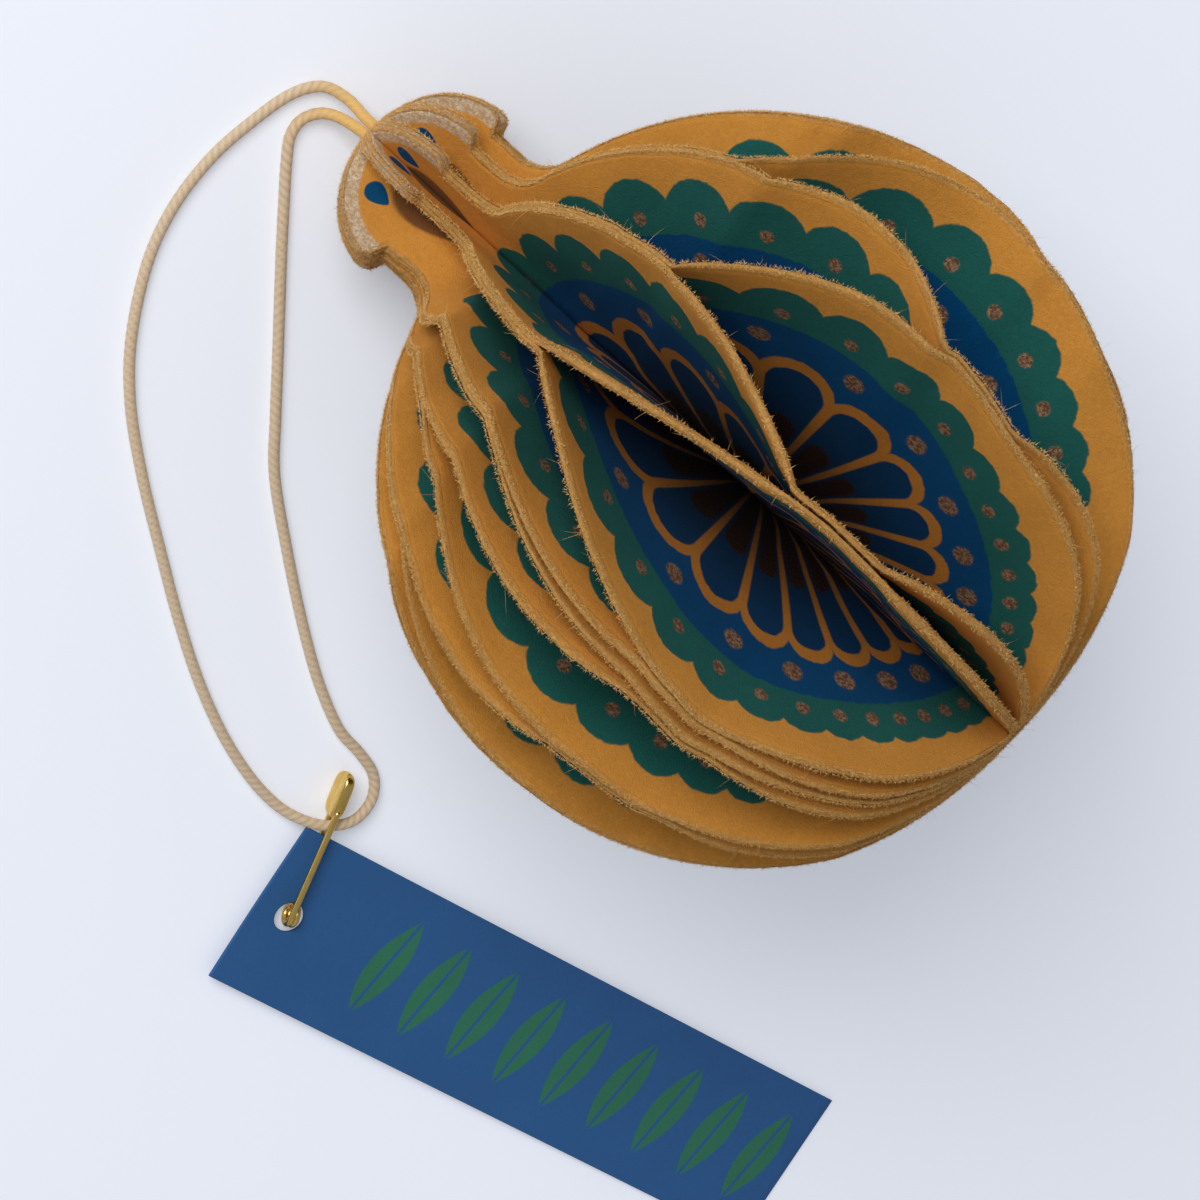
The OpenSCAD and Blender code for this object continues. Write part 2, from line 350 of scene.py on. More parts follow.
def buildPrint():
    # folk rosette in polar form: distance and angle from the middle of the spine decide each ink, and the
    # dark heart, which is part ink and part painted shade
    tree, start, end = newGroup("rosettePrint", [("Plan", "Vector"), ("Grain", "Vector")],
                                [("Colour", "Color"), ("Metal", "Float")])
    plan, grain = start.outputs["Plan"], start.outputs["Grain"]
    wobble = times(tree, minus(tree, noiseOf(tree, grain, printSet["wobbleScale"], 2), 0.5),
                   printSet["wobble"])
    split = addNode(tree, "ShaderNodeSeparateXYZ", {0: plan})
    x, y = split.outputs[0], split.outputs[1]
    far = distance(tree, x, y)
    far = plus(tree, far, wobble)
    # past the turn the pace grows with the square of the angle, so the motifs crowd towards the foot
    angle = maths(tree, "ARCTAN2", x, y)
    past = maths(tree, "MAXIMUM", minus(tree, angle, printSet["paceTurn"]), 0.0)
    grown = times(tree, maths(tree, "POWER", past, 3.0), printSet["paceGrow"])
    spaced = plus(tree, times(tree, angle, printSet["paceTop"]), grown)
    pace = plus(tree, printSet["paceTop"], times(tree, maths(tree, "POWER", past, 2.0),
                                                 3 * printSet["paceGrow"]))
    whole = math.pi * printSet["paceTop"] + printSet["paceGrow"] * (math.pi - printSet["paceTurn"]) ** 3

    def local(count, half=0.0):
        # angle from the middle of the nearest of the repeats, then the point's place beside it
        cell = whole / count
        turned = maths(tree, "WRAP", plus(tree, spaced, half * cell), cell / 2, -cell / 2)
        turned = over(tree, turned, pace)
        return times(tree, far, maths(tree, "COSINE", turned)), times(tree, far, maths(tree, "SINE", turned))

    def roundTo(u, v, at):
        du = minus(tree, u, at)
        return distance(tree, du, v)

    def petal(u, v, tip, wide, curve):
        # wedge that widens with distance and ends in a half circle at the tip; negative inside
        half = over(tree, wide, maths(tree, "MAXIMUM", pace, printSet["paceTop"]))
        endAt = minus(tree, tip, half)
        past = maths(tree, "MAXIMUM", minus(tree, u, endAt), 0.0)
        reach = distance(tree, past, v)
        share = maths(tree, "MINIMUM", over(tree, u, endAt), 1.0)
        return minus(tree, reach, times(tree, maths(tree, "POWER", share, curve), half))

    pu, pv = local(printSet["petals"], 0.5)
    du, dv = local(printSet["petals"])
    su, sv = local(printSet["scallops"], 0.5)
    soft = printSet["soft"]
    scallopR = plus(tree, printSet["scallopBase"], over(tree, printSet["scallopGrow"], pace))
    fromScallop = roundTo(su, sv, printSet["scallopAt"])
    band = maths(tree, "MAXIMUM", below(tree, minus(tree, fromScallop, scallopR), 0.0, soft),
                 below(tree, far, printSet["scallopAt"], soft))
    ring = below(tree, far, printSet["ringEnd"], soft)
    petals = below(tree, petal(pu, pv, printSet["petalTip"], printSet["petalHalf"], 0.9), 0.0, soft)
    petalFill = below(tree, petal(pu, pv, printSet["fillTip"], printSet["fillHalf"], 1.0), 0.0, soft)
    innerFill = below(tree, petal(pu, pv, printSet["innerTip"], printSet["innerHalf"], 1.0), 0.0,
                      printSet["innerSoft"])
    dots = below(tree, roundTo(du, dv, printSet["dotAt"]), printSet["dotR"], printSet["dotSoft"])
    smallDots = below(tree, fromScallop, printSet["smallDotR"], printSet["smallDotSoft"])
    metal = maths(tree, "MAXIMUM", maths(tree, "MAXIMUM", dots, smallDots), times(tree, innerFill, petalFill))
    speck = maths(tree, "POWER", noiseOf(tree, grain, printSet["speckScale"], 3, 0.7), 1.6)
    speck = stretched(tree, speck, 0.26, 0.48)
    foil = blendColour(tree, speck, printSet["bronze"], printSet["silver"])
    darkFoil = blendColour(tree, times(tree, speck, 0.4), printSet["deepBrown"], printSet["bronze"])
    colour = blendColour(tree, band, printSet["mustard"], printSet["teal"])
    colour = blendColour(tree, ring, colour, printSet["blue"])
    colour = blendColour(tree, petals, colour, printSet["outlineInk"])
    colour = blendColour(tree, petalFill, colour, printSet["petalBlue"])
    colour = blendColour(tree, times(tree, innerFill, petalFill), colour, darkFoil)
    # dark heart round the spine: part printed ink, part painted shade of the deep cells there
    heartInkAndShade = below(tree, far, printSet["heartShadeR"], printSet["heartShadeSoft"])
    colour = blendColour(tree, heartInkAndShade, colour, printSet["heartInkAndShade"])
    colour = blendColour(tree, maths(tree, "MAXIMUM", dots, smallDots), colour, foil)
    tree.links.new(colour, end.inputs["Colour"])
    tree.links.new(times(tree, metal, speck), end.inputs["Metal"])
    return tree


capPrint = {
    "foilWide": 0.036,  # in ball radii, from the cap's rim inwards
    "dropAt": (0.165, 1.262),
    "dropR": 0.020,
    "dropTall": 2.0,
    "patchAt": (0.105, 1.12),
    "patchR": 0.055,
    "patchTall": 2.6,
    "dropBlue": rgba(10, 74, 114),
    "patchBrown": rgba(112, 72, 44),
    "foilLight": rgba(236, 216, 184),
    "foilDark": rgba(192, 154, 112),
}


def buildCapPrint():
    # foil band along the cap's rim, one drop on the cap and one brown lozenge on the neck
    tree, start, end = newGroup("capPrint", [("Plan", "Vector"), ("Grain", "Vector"), ("Inset", "Float"),
                                             ("Colour", "Color")],
                                [("Colour", "Color"), ("Metal", "Float")])
    split = addNode(tree, "ShaderNodeSeparateXYZ", {0: start.outputs["Plan"]})
    x, y = split.outputs[0], split.outputs[1]
    grain = start.outputs["Grain"]

    def lozenge(at, radius, tall):
        dx = over(tree, minus(tree, x, at[0]), radius)
        dy = over(tree, minus(tree, y, at[1]), radius * tall)
        narrow = plus(tree, 1.0, times(tree, dy, 0.45))
        dx = over(tree, dx, maths(tree, "MAXIMUM", narrow, 0.25))
        return plus(tree, maths(tree, "POWER", maths(tree, "ABSOLUTE", dx), 1.7), times(tree, dy, dy))

    speck = stretched(tree, noiseOf(tree, grain, 1900, 3, 0.75), 0.4, 0.62)
    onCap = below(tree, times(tree, y, -1.0), -lipZ / bauble["ballR"] - 0.005, 0.004)
    foil = times(tree, onCap, below(tree, start.outputs["Inset"], capPrint["foilWide"], 0.006))
    drop = below(tree, lozenge(capPrint["dropAt"], capPrint["dropR"], capPrint["dropTall"]), 1.0, 0.12)
    patch = below(tree, lozenge(capPrint["patchAt"], capPrint["patchR"], capPrint["patchTall"]), 1.0, 0.15)
    colour = blendColour(tree, times(tree, patch, 0.9), start.outputs["Colour"], capPrint["patchBrown"])
    colour = blendColour(tree, drop, colour, capPrint["dropBlue"])
    colour = blendColour(tree, foil, colour,
                         blendColour(tree, speck, capPrint["foilDark"], capPrint["foilLight"]))
    tree.links.new(colour, end.inputs["Colour"])
    tree.links.new(times(tree, foil, speck), end.inputs["Metal"])
    return tree


pulpSet = {
    "matScale": 2300,
    "fineScale": 6500,
    "slowScale": 130,
    "finePart": 0.45,  # shares of each in the height and the shade
    "pitShadeShare": 0.55,
    "slowShade": 0.35,
}


def buildPulp():
    # cotton pulp: two sizes of matted fibre give the height; the shade is slow random blotches, plus painted
    # shade that darkens the pits and lightens the raised fibres
    tree, start, end = newGroup("cottonPulp", [("Place", "Vector"), ("Coarse", "Float")],
                                [("Height", "Float"), ("Shade", "Float")])
    place = start.outputs["Place"]
    mat = noiseOf(tree, place, pulpSet["matScale"], 4, 0.75, 1.0)
    fine = noiseOf(tree, place, pulpSet["fineScale"], 2, 0.6, 0.6)
    slow = noiseOf(tree, place, pulpSet["slowScale"], 3, 0.55)
    height = plus(tree, times(tree, mat, start.outputs["Coarse"]), times(tree, fine, pulpSet["finePart"]))
    # the matted fibre's part is painted shade: darker where the bump sinks into pits, lighter on raised
    # fibres; the slow blotches are random tone
    shade = plus(tree, times(tree, minus(tree, mat, 0.5), pulpSet["pitShadeShare"]),
                 times(tree, minus(tree, slow, 0.5), pulpSet["slowShade"]))
    tree.links.new(height, end.inputs["Height"])
    tree.links.new(shade, end.inputs["Shade"])
    return tree


rosette, capArt, pulp = buildPrint(), buildCapPrint(), buildPulp()


def newMaterial(name, **plain):
    material = bpy.data.materials.new(name)
    material.use_nodes = True
    shader = material.node_tree.nodes["Principled BSDF"]
    for key, value in plain.items():
        shader.inputs[key].default_value = value
    return material, material.node_tree, shader


def placeGroup(tree, group, values):
    return addNode(tree, "ShaderNodeGroup", values, node_tree=group)


def bumpOf(tree, height, strength, depth):
    values = {"Height": height, "Strength": strength, "Distance": depth}
    return addNode(tree, "ShaderNodeBump", values).outputs[0]


def objectPlace(tree):
    return addNode(tree, "ShaderNodeTexCoord").outputs["Object"]


def attributeOf(tree, name):
    return addNode(tree, "ShaderNodeAttribute", attribute_name=name).outputs["Fac"]


def shaded(tree, colour, shade):
    # lighter or darker by the shade, without turning grey
    gain = plus(tree, 1.0, shade)
    return addNode(tree, "ShaderNodeVectorMath", {0: colour, "Scale": gain}, operation="SCALE").outputs[0]


paperSet = {
    "rimColour": rgba(255, 206, 122),
    "rimDeep": rgba(214, 138, 56),
    "roughness": 0.9,
    "sheen": 0.02,
    "specular": 0.08,
    "bump": 0.0004,
}


def paperMaterial():
    material, tree, shader = newMaterial("printed cotton paper")
    place = objectPlace(tree)
    plan = addNode(tree, "ShaderNodeUVMap", uv_map="plan").outputs[0]
    edge = attributeOf(tree, "edge")
    art = placeGroup(tree, rosette, {"Plan": plan, "Grain": place})
    cap = placeGroup(tree, capArt, {"Plan": plan, "Grain": place, "Inset": attributeOf(tree, "inset"),
                                    "Colour": art.outputs["Colour"]})
    coarse = plus(tree, 0.3, times(tree, edge, 1.5))
    matted = placeGroup(tree, pulp, {"Place": place, "Coarse": coarse})
    rim = blendColour(tree, times(tree, noiseOf(tree, place, 1900, 4, 0.75), 0.9), paperSet["rimColour"],
                      paperSet["rimDeep"])
    colour = blendColour(tree, times(tree, edge, minus(tree, 1.0, cap.outputs["Metal"])),
                         cap.outputs["Colour"], rim)
    # pulp shade: random blotches plus painted shade in the pits
    colour = shaded(tree, colour, matted.outputs["Shade"])
    metal = maths(tree, "MAXIMUM", times(tree, art.outputs["Metal"], minus(tree, 1.0, edge)),
                  cap.outputs["Metal"])
    bump = bumpOf(tree, matted.outputs["Height"], 1.0, paperSet["bump"])
    tree.links.new(colour, shader.inputs["Base Color"])
    tree.links.new(times(tree, metal, 0.8), shader.inputs["Metallic"])
    tree.links.new(minus(tree, paperSet["roughness"], times(tree, metal, 0.5)), shader.inputs["Roughness"])
    tree.links.new(bump, shader.inputs["Normal"])
    shader.inputs["Sheen Weight"].default_value = paperSet["sheen"]
    shader.inputs["Sheen Roughness"].default_value = 0.5
    shader.inputs["Specular IOR Level"].default_value = paperSet["specular"]
    return material


def fibreMaterial():
    material, tree, shader = newMaterial("loose cotton fibre", Roughness=0.85)
    tone = blendColour(tree, attributeOf(tree, "tone"), rgba(238, 168, 80), rgba(255, 220, 148))
    tree.links.new(tone, shader.inputs["Base Color"])
    shader.inputs["Specular IOR Level"].default_value = 0.1
    return material


def cordMaterial():
    material, tree, shader = newMaterial("twisted cotton cord", Roughness=0.75)
    place = objectPlace(tree)
    run = addNode(tree, "ShaderNodeUVMap", uv_map="lengthwise").outputs[0]
    stretch = (1.5, 26.0, 1.0)  # finer across the plies than along them
    streaks = addNode(tree, "ShaderNodeVectorMath", {0: run, 1: stretch}, operation="MULTIPLY").outputs[0]
    thread = noiseOf(tree, streaks, 1.0, 3, 0.6)
    ply = attributeOf(tree, "ply")
    # painted shade: the hollows between the plies are coloured darker than their crests
    tone = blendColour(tree, ply, rgba(206, 174, 134), rgba(232, 208, 174))
    tone = blendColour(tree, attributeOf(tree, "yellow"), tone, rgba(238, 190, 104))
    tone = shaded(tree, tone, times(tree, minus(tree, thread, 0.5), 0.5))
    fuzz = plus(tree, thread, times(tree, noiseOf(tree, place, 5000, 2), 0.4))
    bump = bumpOf(tree, fuzz, 0.7, 0.0001)
    tree.links.new(tone, shader.inputs["Base Color"])
    tree.links.new(bump, shader.inputs["Normal"])
    shader.inputs["Sheen Weight"].default_value = 0.4
    return material


def brassMaterial():
    material, tree, shader = newMaterial("polished brass", Metallic=1.0)
    place = objectPlace(tree)
    tarnish = noiseOf(tree, place, 700, 3, 0.6)
    tone = blendColour(tree, tarnish, rgba(242, 214, 130), rgba(206, 160, 74))
    tree.links.new(tone, shader.inputs["Base Color"])
    dull = plus(tree, 0.16, times(tree, tarnish, 0.22))
    tree.links.new(dull, shader.inputs["Roughness"])
    scuffs = bumpOf(tree, noiseOf(tree, place, 3000, 2), 0.15, 0.00005)
    tree.links.new(scuffs, shader.inputs["Normal"])
    return material


paper, fibre, cotton, brass = paperMaterial(), fibreMaterial(), cordMaterial(), brassMaterial()
cordPiece.data.materials.append(cotton)
print("materials made")


# the fan of leaves
fanSet = {
    # each row: latitude, run to full width, full width; degrees at the rim of the ball.
    # a gap that faces the cap has one more width, which it turns to between the ball and the lip
    "capGaps": [(-8, 50, 11, 1), (-6, 50, 16, 1), (-14, 60, 9, 1), (-10, 44, 11.5, 66),
                (-10, 50, 23, 23), (-11, 40, 23, 23), (-8, 42, 29, 29)],
    "footGaps": [(32, 50, 22), (46, 56, 17), (30, 40, 1.2), (34, 56, 35), (27, 40, 30), (33, 45, 36)],
    "backCap": (-8, 45, 24, 24),
    "backFoot": (33, 50, 24),
    "capFrom": 58,
    "neckLat": 84,  # latitude that the neck's curve ends with
    "slitFrom": -27,
    "slitRun": 40,
    "slitPart": 0.45,
    "leastGap": 0.3,
    "pressed": 0.75,  # how much of its outer half a leaf loses where it is glued
    "frontLeaf": 9,
    "frontTop": -9,
    "frontTurn": 10,
    "frontFrom": 38,
    "frontRun": 55,
    "faceCols": 22,
    "rimCols": 7,
    "openFull": 2.5,  # gap from which a leaf is wholly free of its neighbour
    "nick": 0.10,  # how far the cut edge wanders, twice over
    "waver": 0.10,
    "rough": 0.05,
    "bulge": 0.16,
    "closing": 0.004,  # how far a glued side reaches past the middle of the glue
    "leastRim": 0.2,  # the rim stays this far outside the bore
}


def ease(u):
    c = np.clip(u, 0, 1)
    return (c + np.sin(c * math.pi / 2)) / 2


def halfLeaf(r):
    widest = 180 / bauble["leaves"] - np.degrees(bauble["glueT"] / 2 / r)
    return np.minimum(np.degrees(bauble["leafT"] / 2 / r), widest)


def pitch(r):
    return 2 * halfLeaf(r) + np.degrees(bauble["glueT"] / r)


def freeAngle(r):
    return 360 - bauble["leaves"] * pitch(r)


def outline():
    # foot to top: an arc of the ball, the hollow curve, the straight neck, the lip and the dome
    lat = np.linspace(-86, curveLat, 96)
    size = bauble["ballR"] - (bauble["ballR"] - bauble["footH"]) * ease((-lat - bauble["footFrom"])
                                                                       / (90 - bauble["footFrom"]))
    ball = np.stack([size * np.cos(np.radians(lat)), size * np.sin(np.radians(lat)), lat], axis=1)
    turn = np.radians(np.linspace(curveLat, 0, 12)[1:])
    curve = np.stack([bauble["neckR"] + bauble["neckCurve"] * (1 - np.cos(turn)),
                      curveZ - bauble["neckCurve"] * np.sin(turn),
                      np.linspace(curveLat, fanSet["neckLat"], 12)[1:]], axis=1)
    share = np.linspace(0, 1, 8)[1:]
    neck = np.stack([np.full(len(share), bauble["neckR"]), curveZ + bauble["neckLen"] * share,
                     fanSet["neckLat"] + (90 - fanSet["neckLat"]) * share], axis=1)
    lip = np.stack([bauble["neckR"] + (bauble["capR"] - bauble["neckR"]) * share[1::2],
                    lipZ + bauble["lipH"] * share[1::2], np.full(len(share[1::2]), 90.0)], axis=1)
    rise = np.radians(np.linspace(0, 82, 26)[1:])
    dome = np.stack([bauble["capR"] * np.cos(rise), capZ + bauble["capH"] * np.sin(rise),
                     np.full(len(rise), 90.0)], axis=1)
    return np.vstack([ball, curve, neck, lip, dome])


def gapsAt(lat):
    # opening of every gap at each latitude; the back half shares what the front half leaves
    def opens(row, width, u):
        return width * ease(u / row[1])

    def capOpen(row):
        slit = fanSet["slitPart"] * row[2] * ease((fanSet["slitFrom"] - lat) / fanSet["slitRun"])
        width = row[2] + (row[3] - row[2]) * ease((lat - fanSet["capFrom"]) / (90 - fanSet["capFrom"]))
        return fanSet["leastGap"] + opens(row, width, lat - row[0]) + slit

    def footOpen(row):
        return opens(row, row[2], row[0] - lat)

    frontCount = len(fanSet["capGaps"]) + len(fanSet["footGaps"])
    front = [capOpen(fanSet["capGaps"][k // 2]) if k % 2 == 0 else footOpen(fanSet["footGaps"][k // 2])
             for k in range(frontCount)]
    back = [footOpen(fanSet["backFoot"]) if k % 2 == 0 else capOpen(fanSet["backCap"])
            for k in range(bauble["leaves"] - frontCount)]
    left = freeAngle(bauble["ballR"]) - sum(front)
    return np.stack(front + [gap * left / sum(back) for gap in back], axis=1)


line = outline()
gaps = gapsAt(line[:, 2])
gapSum = np.concatenate([np.zeros((len(line), 1)), np.cumsum(gaps, axis=1)], axis=1)
fan = gapSum[:, :-1] - gapSum[:, fanSet["frontLeaf"] - 1:fanSet["frontLeaf"]]
frontShare = ease((fanSet["frontFrom"] - line[:, 2]) / fanSet["frontRun"])
frontAt = fanSet["frontTop"] + fanSet["frontTurn"] * frontShare


def azimuthAt(i, r):
    # r has one row for each point of the outline
    turn = frontAt[:, None] + (i - fanSet["frontLeaf"]) * pitch(r)
    return turn + fan[:, i - 1:i] * freeAngle(r) / freeAngle(bauble["ballR"])


def openShares(i, row=slice(None)):
    # how free the leaf is of the one before it and the one after it, from 0 to 1
    before = np.clip(gaps[row, (i - 2) % bauble["leaves"]] / fanSet["openFull"], 0, 1)
    after = np.clip(gaps[row, i - 1] / fanSet["openFull"], 0, 1)
    return before, after


def edgeNoise(seed, rows):
    # glued neighbours ask for the same number, so their edges wander together
    rng = np.random.default_rng(300 + seed % bauble["leaves"] + 100 * (seed // 50))
    return fanSet["nick"] * softNoise(rng, rows, 2) + fanSet["nick"] * softNoise(rng, rows, 6)


def softNoise(rng, count, step):
    # smooth random line from -1 to 1 with a knot every few rows
    knots = rng.uniform(-1, 1, count // step + 3)
    return np.interp(np.arange(count) / step, np.arange(len(knots)), knots)


def makeLeaf(i):
    rng = np.random.default_rng(100 + i)
    rows = len(line)
    # shares of the way from the bore to the rim, closer together towards the rim
    share = 1 - (1 - np.linspace(0, 1, fanSet["faceCols"])) ** 1.35
    openBefore, openAfter = openShares(i)
    bothOpen = np.minimum(openBefore, openAfter)
    # two leaves that are glued share one wavy cut edge, pressed thinner than where they part
    withBefore = edgeNoise(i - 1, rows) * (1 - openBefore)
    withAfter = edgeNoise(i, rows) * (1 - openAfter)
    nick = withBefore + withAfter + bothOpen * edgeNoise(50 + i, rows)
    rimR = np.maximum(line[:, 0] + nick * np.clip(line[:, 0] / 6, 0, 1), bauble["boreR"] + fanSet["leastRim"])
    r = bauble["boreR"] + (rimR[:, None] - bauble["boreR"]) * share[None, :]
    turn = azimuthAt(i, r)
    half = halfLeaf(r)
    # the corners of the cut edge are rounded where no neighbour is glued on
    pressed = fanSet["pressed"] * (1 - bothOpen)
    waver = fanSet["waver"] * softNoise(rng, rows, 6)
    inset = rimR[:, None] - r
    height = np.broadcast_to(line[:, 1:2], r.shape)
    sides = []
    for side, opened in ((1, openAfter), (-1, openBefore)):
        corner = 0.32 * opened[:, None] + 0.05
        falls = np.clip(1 - inset / (corner * bauble["leafT"]), 0, 1)
        plump = 1 - 0.45 * corner / 0.37 * falls**2 * opened[:, None]
        thin = (pressed + waver * bothOpen) * opened
        # glue fills what is left on a glued side, and all of it near the bore
        glued = np.maximum(1 - opened[:, None], np.clip((6 - r) / 0.5, 0, 1))
        glue = glued * (bauble["glueT"] / 2 + fanSet["closing"]) / r
        body = half * (plump - thin[:, None] * np.clip((r - 5) / 3, 0, 1))
        angle = np.radians(turn + side * body) + side * glue
        sides.append(np.stack([r * np.cos(angle), r * np.sin(angle), height], axis=-1))
    # the cut edge bulges a little between its corners
    across = np.linspace(1, -1, fanSet["rimCols"] + 2)[1:-1]
    first, last = sides[0][:, -1], sides[1][:, -1]
    slide = across[None, :, None]
    rim = first[:, None] * (1 + slide) / 2 + last[:, None] * (1 - slide) / 2
    tangent = np.gradient(line[:, :2], axis=0)
    normal = np.stack([tangent[:, 1], -tangent[:, 0]], axis=1)
    normal /= np.linalg.norm(normal, axis=1)[:, None]
    middle = np.radians(azimuthAt(i, rimR[:, None])[:, 0])
    flatOut = normal[:, 0]
    outward = np.stack([flatOut * np.cos(middle), flatOut * np.sin(middle), normal[:, 1]], axis=1)
    rough = fanSet["rough"] * rng.uniform(-1, 1, (rows, fanSet["rimCols"]))
    # it falls off only towards an open side: a glued side runs on level into its neighbour
    falling = np.where(across > 0, openAfter[:, None], openBefore[:, None])
    bulge = fanSet["bulge"] * (1 - falling * across[None, :] ** 2) + rough
    rim = rim + bulge[..., None] * outward[:, None]
    loop = np.concatenate([sides[0], rim, sides[1][:, ::-1]], axis=1)
    cols = loop.shape[1]
    points = placed(loop)
    points[..., 2] = np.maximum(points[..., 2], 0)
    faces = tubeFaces(rows, cols, flip=True)
    piece = addMesh("paper_leaf_%02d" % i, points, faces)
    rimRadial = np.broadcast_to(rimR[:, None], (rows, fanSet["rimCols"]))
    radial = np.concatenate([r, rimRadial, r[:, ::-1]], axis=1)
    upright = np.broadcast_to(line[:, 1:2], radial.shape)
    setPlan(piece, "plan", np.stack([radial, upright], axis=-1) / bauble["ballR"])
    edge = np.zeros((rows, cols))
    edge[:, fanSet["faceCols"]:-fanSet["faceCols"]] = 1
    edge[:, [fanSet["faceCols"] - 1, -fanSet["faceCols"]]] = 0.85
    setLayer(piece, "edge", edge)
    setLayer(piece, "inset", insetOf(radial, upright))
    piece.data.materials.append(paper)
    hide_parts("leaf_%02d" % i)
    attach(piece, "root")


def insetOf(radial, upright):
    # distance in from the dome's outline, measured from the dome's own middle, in ball radii
    dome = np.hypot(radial / bauble["capR"], (upright - capZ) / bauble["capH"])
    return (1 - np.clip(dome, 0, 1)) * bauble["capR"] / bauble["ballR"]


for i in range(1, bauble["leaves"] + 1):
    makeLeaf(i)
print("leaves made")


fibreSet = {
    "fuzz": 4300,  # short fibres on each leaf's cut edge
    "fuzzLong": (0.12, 0.40),
    "fuzzWide": 0.085,
    "hairs": 60,
    "hairLong": (0.6, 2.0),
    "hairWide": 0.032,
}


def rimSpots(rng, i, count):
    # random spots on the cut edge, evenly by length: a place, and directions out, along and across
    length = np.concatenate([[0], np.cumsum(np.hypot(*np.diff(line[:, :2], axis=0).T))])
    at = np.interp(rng.uniform(0, length[-1], count), length, np.arange(len(line)))
    row, part = np.floor(at).astype(int), at % 1
    row = np.minimum(row, len(line) - 2)
    spot = line[row] * (1 - part[:, None]) + line[row + 1] * part[:, None]
    rim = azimuthAt(i, np.maximum(line[:, :1], bauble["boreR"] + fanSet["leastRim"]))[:, 0]
    turn = np.radians(rim[row] * (1 - part) + rim[row + 1] * part)
    tangent = line[row + 1, :2] - line[row, :2]
    tangent /= np.linalg.norm(tangent, axis=1)[:, None]
    out = np.stack([tangent[:, 1] * np.cos(turn), tangent[:, 1] * np.sin(turn), -tangent[:, 0]], axis=1)
    along = np.stack([tangent[:, 0] * np.cos(turn), tangent[:, 0] * np.sin(turn), tangent[:, 1]], axis=1)
    across = np.cross(along, out)
    slide = rng.uniform(-1, 1, count)
    half = np.radians(halfLeaf(np.maximum(spot[:, 0], bauble["boreR"]))) * spot[:, 0]
    before, after = openShares(i, row)
    opened = np.where(slide > 0, after, before)
    half *= 1 - fanSet["pressed"] * (1 - np.minimum(before, after)) * opened
    place = np.stack([spot[:, 0] * np.cos(turn), spot[:, 0] * np.sin(turn), spot[:, 1]], axis=1)
    place += across * (slide * half)[:, None] + out * (0.15 * (1 - 0.8 * slide**2))[:, None]
    return place, out, along, across, slide


def curvedFibres(rng, place, out, along, across, slide, long, wide, bends):
    # each fibre is a three-sided spike that starts outwards and bows sideways by the square of its length
    count = len(place)
    size = rng.uniform(*long, count)
    lean = rng.normal(0, 0.75, (count, 2))
    lead = 0.7 * out + along * lean[:, :1] + across * (0.75 * lean[:, 1:] + 0.7 * slide[:, None])
    lead /= np.linalg.norm(lead, axis=1)[:, None]
    bow = (along * rng.normal(0, 1, (count, 1)) + across * rng.normal(0, 1, (count, 1))
           + out * rng.normal(0, 0.4, (count, 1)))
    step = np.linspace(0, 1, bends + 1)
    axis = place[:, None] + size[:, None, None] * (lead[:, None] * (step[None, :, None] - 0.08)
                                                   + 0.5 * bow[:, None] * step[None, :, None] ** 2)
    first = np.cross(lead, bow)
    first /= np.linalg.norm(first, axis=1)[:, None]
    second = np.cross(lead, first)
    turns = np.array([0, 2, 4]) * math.pi / 3
    ring = np.cos(turns)[None, :, None] * first[:, None] + np.sin(turns)[None, :, None] * second[:, None]
    taper = wide / 2 * (1 - step[:-1]) ** 0.6
    body = axis[:, :-1, None] + ring[:, None] * taper[None, :, None, None]
    points = np.concatenate([body.reshape(count, -1, 3), axis[:, -1:]], axis=1)
    each = []
    for k in range(bends - 1):
        for m in range(3):
            a, b = 3 * k + m, 3 * k + (m + 1) % 3
            each += [(a, b, b + 3), (a, b + 3, a + 3)]
    tip = 3 * bends
    each += [(3 * (bends - 1) + m, 3 * (bends - 1) + (m + 1) % 3, tip) for m in range(3)] + [(2, 1, 0)]
    each = np.array(each)
    faces = (each[None] + np.arange(count)[:, None, None] * points.shape[1]).reshape(-1, 3)
    return points, faces


def makeFibres(first, last):
    # short fuzz and a few long hairs for a run of leaves, as one piece
    points, faces, tones, base = [], [], [], 0
    for i in range(first, last + 1):
        rng = np.random.default_rng(900 + i)
        for count, long, wide, bends in ((fibreSet["fuzz"], fibreSet["fuzzLong"], fibreSet["fuzzWide"], 1),
                                         (fibreSet["hairs"], fibreSet["hairLong"], fibreSet["hairWide"], 4)):
            shape, corners = curvedFibres(rng, *rimSpots(rng, i, count), long, wide, bends)
            shape = placed(shape)
            shape[..., 2] = np.maximum(shape[..., 2], 0)
            tones.append(np.repeat(rng.uniform(0, 1, count), shape.shape[1]))
            faces.append(corners + base)
            points.append(shape.reshape(-1, 3))
            base += len(points[-1])
    piece = addMesh("rim_fibres_%02d_%02d" % (first, last), np.vstack(points), np.vstack(faces))
    setLayer(piece, "tone", np.concatenate(tones))
    piece.data.materials.append(fibre)
    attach(piece, "root")


for first in range(1, bauble["leaves"], 7):
    makeFibres(first, first + 6)
print("fibres made")


# tag and pin
tagSet = {
    "long": 83,
    "wide": 20.5,
    "thick": 0.5,
    "holeAt": (21.4, -70.2),
    "holeFromEnd": 4.6,
    "holeR": 1.8,
    "turn": 11.5,
    "rise": 1.0,  # height of the end that lies on the pin
    "blue": rgba(38, 92, 148),
    "green": rgba(44, 118, 88),
    "motifs": 9,
    "motifsFrom": 0.13,  # along the card, where its length is 1
    "motifsLong": 0.8,
    "motifTall": 0.33,
    "lean": 0.035,
    "curl": 0.16,
    "lines": 22,  # between the hole and the edge, besides two close to each
}


